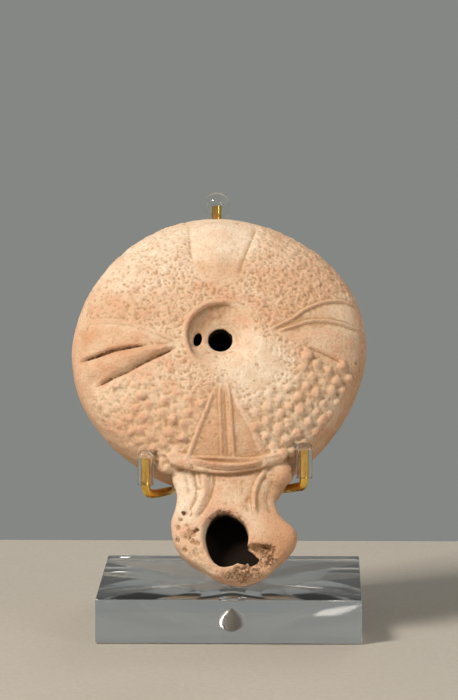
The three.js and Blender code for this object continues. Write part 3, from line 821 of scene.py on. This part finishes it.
def wickShare(points, size):
    # distance from the middle of the wick hole, in shares of the half sizes
    middle = openings["wick"][0][1]
    return np.hypot((points[:, 0] - middle[0]) / size[0], (points[:, 1] - middle[1]) / size[1])


def maskInside(points, places):
    # the chamber, the channel to the wick hole, and the deep part of that hole, all painted near black: shade, partly
    # soot
    slack = 0.3
    inner, reach = lampForm["radius"] - lampForm["wall"] + slack, np.linalg.norm(places, axis=1)
    ceiling = rise(reach, inner, lampForm["domeHeight"] - lampForm["wall"] + slack)
    floor = -rise(reach, inner, lampForm["bowlDepth"] - lampForm["wall"] + slack)
    chamber = (reach < inner) & (points[:, 2] < ceiling) & (points[:, 2] > floor)
    chamber = chamber * (ease(reach, 8.4, 9) + ease(points[:, 2], 8.0, 7.2) > 0)
    along = -points[:, 1]
    channel = ((along > 20) & (along < 53.9)
               & (np.abs(points[:, 0] - nozzleAt("sway", along)) < nozzleAt("halfWidth", along) - 2.7)
               & (points[:, 2] < nozzleAt("top", along) - 2.6) & (points[:, 2] > nozzleAt("bottom", along) + 2.7))
    hole = ease(wickShare(points, stainsAndShades["wickHole"]), 1.06, 1.0) * ease(points[:, 2], 4.3, 3.4)
    return np.maximum.reduce([chamber.astype(float), channel.astype(float), hole])


def maskLamp(mesh):
    # where dirt has settled and creases get painted shade, where handling has worn the tops down to pink clay, where
    # the flame has left soot and grooves, pits and the wick hole's upper rim get painted shade, painted shade and
    # bounce on the right side, painted near black inside
    points, normals, edges = pointsOf(mesh), normalsOf(mesh), edgesOf(mesh)
    places, front = points[:, :2], ease(normals[:, 2], -0.1, 0.4)
    fine, broad = (((smoothed(points, edges, rounds, 0.6) - points) * normals).sum(1) for rounds in (3, 22))
    # browner in creases and hollows: partly dirt, partly painted shade
    addMask(mesh, "dirt", fine / 0.08 + broad / 0.34 - 0.12)
    addMask(mesh, "rubbed", -fine / 0.07 - broad / 0.3)
    # band round the upper rim of the wick hole: partly soot, partly painted shade under the rim
    upperRimSootAndShade = ease(np.abs(wickShare(points, stainsAndShades["wickRing"]) - 1), 0.2, 0.04) * ease(points[:, 1], -46, -42) * 0.75
    # painted shade in the pits of the nozzle's left lobe
    pits = np.maximum.reduce([spot(points, middle, 1, 1.15 * size, 0.45 * size)
                              for middle, size, depth in craters["lobePits"]])
    # painted shade along the two deep grooves of the left leaf
    far, near = (ease(-lineLift(places, *tooledLines[name]), 0.3, 1.1)
                 for name in ("leftGrooveFar", "leftGrooveNear"))
    soot = [spot(points, *stainsAndShades["chip"]) * 0.62, spot(points, *stainsAndShades["lip"]) * 0.45, upperRimSootAndShade * 0.7, pits * 0.8,
            np.maximum(far, 0.7 * near) * front * 0.8]
    addMask(mesh, "soot", np.maximum.reduce(soot) * (0.75 + 0.5 * swell(points, 1.6, 50)))
    addMask(mesh, "inside", maskInside(points, places))
    # the leaf panels are warmer clay; below, the lower right side wall and surfaces turned away from the face get
    # painted shade and warm bounce
    panels = np.maximum(insideOf(places, leafOutlines["near"]), insideOf(places, leafOutlines["left"]) * 0.5)
    side = ease(np.linalg.norm(places, axis=1), 30.6, 32.2) * ease(places[:, 0], 4, 16) * ease(places[:, 1], 6, -4)
    warm = 0.85 * ease(panels, 0.4, 1.6) * front + side + 0.35 * ease(normals[:, 2], 0.25, -0.1)
    # painted shade and warm bounce on the nozzle's right lobe
    warm += 0.7 * spot(places, *stainsAndShades["nozzleRightShade"])
    addMask(mesh, "warm", warm * (0.8 + 0.3 * swell(points, 4.0, 51)))
    cream = np.maximum.reduce([spot(places, *stain) for stain in stainsAndShades["cream"]])
    addMask(mesh, "cream", cream * front * (0.8 + 0.4 * swell(points, 3.0, 52)))


def makeLamp(clay):
    shells = [bodyBlank(), ringSkin("nozzle", nozzleRings(80, 0, nozzleForm["tip"])), barBlank()]
    shells += [lump(name, *plan) for name, plan in lumps.items()] + [makeBosses(clay)]
    lamp = fuse(gathered("lamp_clay", shells), lampForm["voxel"])
    print("lamp fused:", len(lamp.data.vertices))
    for cutter in cutters():
        combine(lamp, cutter, "DIFFERENCE")
    fuse(lamp, lampForm["voxel"])
    points = smoothed(pointsOf(lamp.data), edgesOf(lamp.data), 3, 0.5)
    setPoints(lamp.data, points)
    normals = normalsOf(lamp.data)
    setPoints(lamp.data, points + normals * wear(points, normals)[:, None])
    print("lamp worn:", len(points))
    thin = lamp.modifiers.new("thin", "DECIMATE")
    thin.ratio = min(1, lampForm["triangles"] / (2 * len(lamp.data.polygons)))
    settle(lamp)
    combine(lamp, chamberBlank(), "DIFFERENCE")
    maskLamp(lamp.data)
    finishPiece(lamp, ["lamp_body"], clay, place=lampPlace())
    lamp.data.calc_loop_triangles()
    print("lamp hollowed:", len(lamp.data.loop_triangles), "triangles")
    return lamp


# ---- materials ----

def hexColour(text):
    parts = [int(text[i:i + 2], 16) / 255 for i in (0, 2, 4)]
    return tuple(p / 12.92 if p <= 0.04045 else ((p + 0.055) / 1.055) ** 2.4 for p in parts) + (1,)


def startMaterial(name, **plain):
    # principled shader, and Object coordinates in millimetres for its patterns
    material = bpy.data.materials.new(name)
    material.use_nodes = True
    tree = material.node_tree
    tree.nodes.clear()
    inputs = [(key.replace("_", " "), value) for key, value in plain.items()]
    shader = addNode(tree, "ShaderNodeBsdfPrincipled", inputs)
    addNode(tree, "ShaderNodeOutputMaterial", [("Surface", shader.outputs["BSDF"])])
    place = addNode(tree, "ShaderNodeTexCoord")
    grow = addNode(tree, "ShaderNodeMapping", [("Vector", place.outputs["Object"]), ("Scale", (1000, 1000, 1000))])
    return material, tree, shader, grow.outputs["Vector"]


def noise(tree, place, size, detail=3, rough=0.5, warp=0):
    # cloudy pattern with features about size millimetres across
    node = addNode(tree, "ShaderNodeTexNoise", [("Vector", place), ("Scale", 1 / size), ("Detail", detail),
                                                ("Roughness", rough), ("Distortion", warp)])
    return node.outputs["Fac"]


def band(tree, value, low, high, bottom=0.0, top=1.0):
    node = addNode(tree, "ShaderNodeMapRange", [("Value", value), ("From Min", low), ("From Max", high),
                                                ("To Min", bottom), ("To Max", top)], interpolation_type="SMOOTHSTEP")
    return node.outputs["Result"]


def blendColour(tree, share, under, over, way="MIX"):
    under, over = (hexColour(value) if isinstance(value, str) else value for value in (under, over))
    node = addNode(tree, "ShaderNodeMix", [(0, share), (6, under), (7, over)], data_type="RGBA", blend_type=way)
    return node.outputs[2]


def mask(tree, name):
    return addNode(tree, "ShaderNodeAttribute", attribute_name=name).outputs["Fac"]


def bumps(tree, shader, layers):
    # layers of bump, each a height, its depth in millimetres and its strength
    normal = None
    for height, depth, strength in layers:
        node = addNode(tree, "ShaderNodeBump", [("Height", height), ("Distance", depth * mm), ("Strength", strength)])
        if normal is not None:
            tree.links.new(normal, node.inputs["Normal"])
        normal = node.outputs["Normal"]
    tree.links.new(normal, shader.inputs["Normal"])


clayLook = {
    "body": "e3c9ad",
    "tan": "d6b393",
    "pink": "d9a98b",
    "cream": "eedcc6",
    # partly the clay's own warm tone, partly painted shade and bounce on the right side
    "warm": "c99974",
    "orange": "d3a06e",
    # crease brown, partly dirt and partly painted shade; also laid in random specks
    "dirt": "a98259",
    # soot near the wick, and painted shade in the left leaf's grooves, the lobe pits and the wick hole's upper rim
    "soot": "6b4629",
    "darkest": "2f1c10",
    # painted shade inside the chamber and holes, partly soot
    "inside": "1c110a",
    "roughness": 0.86,
    "sheen": 0.22,
    # size, detail, roughness and warp of each cloudy field
    "fields": {"wide": (13, 3), "patch": (5, 4, 0.6, 0.6), "blotch": (2.2, 4, 0.6), "speck": (0.55, 4, 0.65),
               "grit": (0.28, 2, 0.6), "pits": (0.8, 3, 0.7)},
    # the field that shows each colour: the span of its values, then the share of colour at both ends
    "clouds": [("wide", (0.38, 0.62), "tan"), ("patch", (0.5, 0.68, 0, 0.65), "pink"),
               ("blotch", (0.56, 0.74, 0, 0.5), "orange")],
    # the same for colours that lie where a mask says
    # crease colour: partly dirt, partly painted shade; warm colour: partly the clay's own tone, partly painted shade
    # and bounce on the right side
    "masked": [("rubbed", "patch", (0.35, 0.65, 0.25, 0.85), "pink"),
               ("cream", "patch", (0.3, 0.6, 0.35, 0.95), "cream"),
               ("warm", "patch", (0.25, 0.7, 0.45, 0.9), "warm"), ("dirt", "speck", (0.25, 0.65, 0.35, 1), "dirt")],
    # height, depth in millimetres, strength
    "bumps": [("blotch", 0.3, 0.4), ("speck", 0.26, 0.8), ("grit", 0.12, 0.7), ("pits", 0.12, 0.6)],
}


def clayMaterial():
    look = clayLook
    material, tree, shader, place = startMaterial("clay", Specular_IOR_Level=look["sheen"])
    fields = {name: noise(tree, place, *plan) for name, plan in look["fields"].items()}
    speck, colour = fields["speck"], look["body"]
    for name, span, over in look["clouds"]:
        colour = blendColour(tree, band(tree, fields[name], *span), colour, look[over])
    for name, field, span, over in look["masked"]:
        share = sums(tree, "MULTIPLY", mask(tree, name), band(tree, fields[field], *span))
        colour = blendColour(tree, share, colour, look[over])
    # soot near the wick, and painted shade in grooves, pits and under the wick hole's upper rim
    soot = band(tree, sums(tree, "ADD", mask(tree, "soot"), band(tree, speck, 0.3, 0.7, -0.3, 0.25)), 0.12, 0.75)
    colour = blendColour(tree, soot, colour, look["soot"])
    darkest = sums(tree, "MULTIPLY", soot, band(tree, fields["grit"], 0.5, 0.62, 0, 0.7))
    colour = blendColour(tree, darkest, colour, look["darkest"])
    colour = blendColour(tree, band(tree, speck, 0.25, 0.6, 0.32, 0), colour, look["dirt"], "MULTIPLY")
    # near black inside the chamber, channel and wick hole: painted shade, partly soot
    colour = blendColour(tree, mask(tree, "inside"), colour, look["inside"])
    feed(tree, shader.inputs["Base Color"], colour)
    rough = sums(tree, "ADD", band(tree, speck, 0.2, 0.8, -0.08, 0.08), look["roughness"])
    feed(tree, shader.inputs["Roughness"], rough)
    fields["pits"] = band(tree, fields["pits"], 0.3, 0.42)
    bumps(tree, shader, [(fields[name], depth, strength) for name, depth, strength in look["bumps"]])
    return material


# colour, refractive index, roughness, then size and depth of the scratches
clearLook = {
    "acrylic": ((1, 1, 1, 1), 1.49, 0.03, 0.3, 0.004),
    "drilled acrylic": ((1, 1, 1, 1), 1.49, 0.22, 0.3, 0.02),
    "silicone": ((0.97, 0.97, 0.95, 1), 1.41, 0.06, 0.5, 0.02),
}


def clearMaterial(name):
    # see-through by plain values; the pattern gives only faint scratches and dust
    colour, ior, roughness, scratchSize, scratchDepth = clearLook[name]
    material, tree, shader, place = startMaterial(name, Base_Color=colour, IOR=ior, Transmission_Weight=1.0)
    long = addNode(tree, "ShaderNodeMapping", [("Vector", place), ("Rotation", (0.2, 0.5, 0.7)),
                                               ("Scale", (1, 0.06, 1))])
    scratches, dust = noise(tree, long.outputs["Vector"], scratchSize, 2), noise(tree, place, 0.5, 2)
    rough = sums(tree, "ADD", band(tree, scratches, 0.55, 0.75, 0, 0.05),
                 band(tree, dust, 0.6, 0.8, roughness, roughness + 0.03))
    feed(tree, shader.inputs["Roughness"], rough)
    bumps(tree, shader, [(scratches, scratchDepth, 0.3)])
    return material


brassLook = {"bright": "efc965", "dull": "d8a848", "brown": "94692b", "roughness": (0.14, 0.26)}


def brassMaterial():
    look = brassLook
    material, tree, shader, place = startMaterial("brass", Metallic=1.0)
    cloud, fine = noise(tree, place, 3.5, 4, 0.6), noise(tree, place, 0.35, 3)
    colour = blendColour(tree, band(tree, cloud, 0.4, 0.7), look["bright"], look["dull"])
    colour = blendColour(tree, band(tree, fine, 0.6, 0.8, 0, 0.35), colour, look["brown"])
    feed(tree, shader.inputs["Base Color"], colour)
    feed(tree, shader.inputs["Roughness"], band(tree, cloud, 0.3, 0.8, *look["roughness"]))
    drawn = addNode(tree, "ShaderNodeMapping", [("Vector", place), ("Scale", (1, 1, 0.08))])
    bumps(tree, shader, [(noise(tree, drawn.outputs["Vector"], 0.25, 2), 0.02, 0.5), (fine, 0.015, 0.3)])
    return material


# ---- the stand ----

standForm = {"blockEdge": 0.35, "holeRadius": 2.75, "holeDepth": 8.0, "drillAngle": 59.0, "boreRadius": 1.5,
             "boreDepth": 8.0, "gap": 0.3}


def makeBlock(clear, frosted):
    low, high = inMillimetres(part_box("base_block"))
    edge = standForm["blockEdge"]
    rings = []
    for inset, z in ((0.9, low[2]), (0.3, low[2] + 0.3 * edge), (0, low[2] + edge),
                     (0, high[2] - edge), (0.3, high[2] - 0.3 * edge), (0.9, high[2])):
        corners = []
        for sx, sy, start in ((1, 1, 0), (-1, 1, 90), (-1, -1, 180), (1, -1, 270)):
            middle = (sx * (high[0] - edge), sy * (high[1] - edge))
            for turn in range(0, 91, 30):
                t = math.radians(start + turn)
                reach = edge * (1 - inset)
                corners.append((middle[0] + reach * math.cos(t), middle[1] + reach * math.sin(t), z))
        rings.append(corners)
    block = ringSkin("clear_block", rings)
    rodLow, rodHigh = inMillimetres(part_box("post_rod"))
    middle, radius = tuple((rodLow + rodHigh)[:2] / 2), standForm["holeRadius"]
    point = high[2] - standForm["holeDepth"]
    flat = point + radius / math.tan(math.radians(standForm["drillAngle"]))
    hole = [(0.02, point), (radius, flat), (radius, high[2] - 0.15), (radius + 0.2, high[2] + 0.05),
            (radius + 0.2, high[2] + 1)]
    combine(block, turnedSkin("drill", hole, 72, middle), "DIFFERENCE")
    finishPiece(block, ["base_block"], clear, 35)
    block.data.materials.append(frosted)
    for face in block.data.polygons:
        off = np.hypot(face.center.x / mm - middle[0], face.center.y / mm - middle[1])
        face.material_index = int(off < radius + 0.05 and face.center.z / mm < high[2] - 0.1)
    return block


def makeRod(clear):
    low, high = inMillimetres(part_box("post_rod"))
    radius, bore, middle = (high[0] - low[0]) / 2, standForm["boreRadius"], tuple((low + high)[:2] / 2)
    floor = high[2] - standForm["boreDepth"]
    rod = turnedSkin("clear_rod", [
        (0.05, low[2]), (radius - 0.25, low[2]), (radius - 0.05, low[2] + 0.08), (radius, low[2] + 0.25),
        (radius, high[2] - 0.25), (radius - 0.06, high[2] - 0.06), (radius - 0.25, high[2]), (bore + 0.1, high[2])],
        72, middle)
    hollow = [(0.02, floor), (bore, floor + 0.3), (bore, high[2] + 1)]
    combine(rod, turnedSkin("bore", hollow, 40, middle), "DIFFERENCE")
    return finishPiece(rod, ["post_rod"], clear, 35)


hookForm = {
    "radius": 1.0,
    "bend": 2.2,
    "left": {"side": -1, "foot": 33.6, "dip": 0.5, "top": 42.2},
    "right": {"side": 1, "foot": 35.0, "dip": 1.9, "top": 43.9},
    "prongRadius": 1.15,
    "prongStraight": 77.0,
    "joint": (-0.2, -1.6, 3.0),
    "solder": ((-0.2, -0.8, 3.1), 1.9),
}


def hookRoute(which):
    # from the tip of a hook, down in front of the shoulder and back under the body to the middle
    plan = hookForm[which]
    low, high = inMillimetres(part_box("sleeve_" + which))
    x, y = (low + high)[:2] / 2
    side, foot, dip, bend = plan["side"], plan["foot"], plan["dip"], hookForm["bend"]
    return [(x, y, plan["top"]), (x, y, foot + bend + 1), (x, y, foot + bend), (x - side * 0.5, y + 0.6, foot + 0.5),
            (x - side * 1.6, y + 2, foot), (x - side * 4.2, y + 7, foot - dip * 0.6),
            (x - side * 6.2, y + 14, foot - dip), (x - side * 9, y + 26, foot + 1.5),
            (x - side * 13, y + 38, foot + 9)]


def makeCradle(brass):
    rodLow, rodHigh = inMillimetres(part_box("post_rod"))
    rodTop = np.array([*(rodLow + rodHigh)[:2] / 2, rodHigh[2]])
    rodX, rodY, top = rodTop
    low, high = inMillimetres(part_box("sleeve_top"))
    prongX, prongY = (low + high)[:2] / 2
    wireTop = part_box("brass_cradle")[1].z / mm
    straight = hookForm["prongStraight"]
    upright = [(rodX, rodY, top - standForm["boreDepth"] + standForm["gap"]), (rodX, rodY, top + 1),
               (rodX - 0.4, rodY - 0.6, top + 6), (rodX - 2.2, 20, top + 15), (prongX, prongY + 0.4, straight - 4),
               (prongX, prongY, straight), (prongX, prongY, wireTop)]
    lower = hookRoute("left") + [tuple(rodTop + hookForm["joint"])] + hookRoute("right")[::-1]
    wires = tube("upright", evenly(smoothRoute(upright, 12), 0.7), hookForm["prongRadius"], 24, 0.12)
    combine(wires, tube("hooks", evenly(smoothRoute(lower, 12), 0.5), hookForm["radius"], 24, 0.12), "UNION")
    place, size = hookForm["solder"]
    solder = lump("solder", rodTop + place, (size, size, size * 1.15))
    knobbly = pointsOf(solder.data)
    setPoints(solder.data, knobbly + 0.18 * swell(knobbly, 1.6, 60)[:, None])
    cradle = combine(wires, solder, "UNION")
    cradle.name = "brass_wires"
    return finishPiece(cradle, ["brass_cradle"], brass, 50)


sleeveForm = {
    "top": {"bore": 1.45, "end": 2.5, "wire": 95.0},
    "left": {"bore": 1.3, "end": 1.2, "wire": 42.2},
    "right": {"bore": 1.3, "end": 1.2, "wire": 43.9},
    "gap": 0.3,
}


def makeSleeve(which, silicone):
    # clear cap over the end of a wire, its end a dome, its mouth a little uneven where it was cut
    plan = sleeveForm[which]
    low, high = inMillimetres(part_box("sleeve_" + which))
    radius, end, bore, middle = (high[1] - low[1]) / 2, plan["end"], plan["bore"], tuple((low + high)[:2] / 2)
    inner = plan["wire"] + sleeveForm["gap"]
    profile = [(bore - 0.02, low[2] + 0.12), (bore + 0.1, low[2]), (radius - 0.12, low[2]), (radius, low[2] + 0.14)]
    for z in np.linspace(low[2] + 1, high[2] - end - 0.4, 7):
        profile.append((radius * (1 + 0.012 * math.sin(2.1 * z)), z))
    for t in np.linspace(0, 0.97, 10) * math.pi / 2:
        profile.append((radius * math.cos(t) ** 0.9, high[2] - end + end * math.sin(t)))
    sleeve = turnedSkin("sleeve_clear_" + which, profile, 40, middle)
    hollow = [(bore, low[2] - 1), (bore, inner - 0.35), (bore * 0.8, inner - 0.08), (0.2, inner)]
    combine(sleeve, turnedSkin("bore", hollow, 32, middle), "DIFFERENCE")
    return finishPiece(sleeve, ["sleeve_" + which], silicone, 40)


# ---- camera, floor and light ----

studio = {
    "camera": {"place": (0.0191, -0.9742, 0.1787), "pitchDown": 6.775, "turnLeft": 1.151, "lens": 219.3},
    "floor": {"colour": "b4aea5", "stain": "6f6a64", "below": 0.2, "back": 0.114},
    "key": {"place": (-0.62, -0.55, 0.85), "size": (0.3, 0.3), "watts": 14.6, "colour": "fff6ea"},
    "fill": {"place": (0.75, -0.75, 0.3), "size": (0.1, 0.6), "watts": 2.6, "colour": "fff8f0"},
    "behind": {"place": (0.5, 1.5, 0.5), "size": (0.6, 0.4), "watts": 9.0, "colour": "fff8f0"},
    "sky": ("858784", 1.0),
}


def placeCamera():
    plan = studio["camera"]
    data = bpy.data.cameras.new("camera")
    data.lens, data.clip_start, data.clip_end = plan["lens"], 0.05, 30
    camera = bpy.data.objects.new("camera", data)
    bpy.context.scene.collection.objects.link(camera)
    camera.location = plan["place"]
    camera.rotation_euler = (math.radians(90 - plan["pitchDown"]), 0, math.radians(plan["turnLeft"]))
    bpy.context.scene.camera = camera


def stageMaterial(name, plan):
    material, tree, shader, place = startMaterial(name, Roughness=0.75)
    grain = noise(tree, place, 1.2, 4)
    colour = blendColour(tree, band(tree, grain, 0.3, 0.7, 0, 0.12), plan["colour"], plan["stain"])
    feed(tree, shader.inputs["Base Color"], colour)
    bumps(tree, shader, [(grain, 0.1, 0.2)])
    return material


def makeStudio():
    z = -studio["floor"]["below"] * mm
    back = studio["floor"]["back"]
    floor = newPiece("floor", [(-2, -2, z), (2, -2, z), (2, back, z), (-2, back, z)], [(0, 1, 2, 3)])
    floor.data.materials.append(stageMaterial("pale floor", studio["floor"]))
    for name in ("key", "fill", "behind"):
        plan = studio[name]
        light = bpy.data.lights.new(name, "AREA")
        light.shape, light.size, light.size_y = "RECTANGLE", *plan["size"]
        light.energy, light.color = plan["watts"], hexColour(plan["colour"])[:3]
        lamp = bpy.data.objects.new(name, light)
        bpy.context.scene.collection.objects.link(lamp)
        lamp.location = plan["place"]
        lamp.visible_glossy = lamp.visible_transmission = name != "behind"
        lamp.rotation_euler = (Vector((0, 0, 0.05)) - Vector(plan["place"])).to_track_quat("-Z", "Y").to_euler()
    world = bpy.data.worlds.new("studio")
    world.use_nodes = True
    colour, strength = studio["sky"]
    background = world.node_tree.nodes["Background"].inputs
    background["Color"].default_value, background["Strength"].default_value = hexColour(colour), strength
    bpy.context.scene.world = world
    bpy.context.scene.view_settings.view_transform = "Standard"


placeCamera()
makeStudio()
print("camera, floor and light placed")
acrylic, frosted, silicone = (clearMaterial(name) for name in clearLook)
makeBlock(acrylic, frosted)
makeRod(acrylic)
makeCradle(brassMaterial())
for which in ("top", "left", "right"):
    makeSleeve(which, silicone)
print("stand made")
makeLamp(clayMaterial())
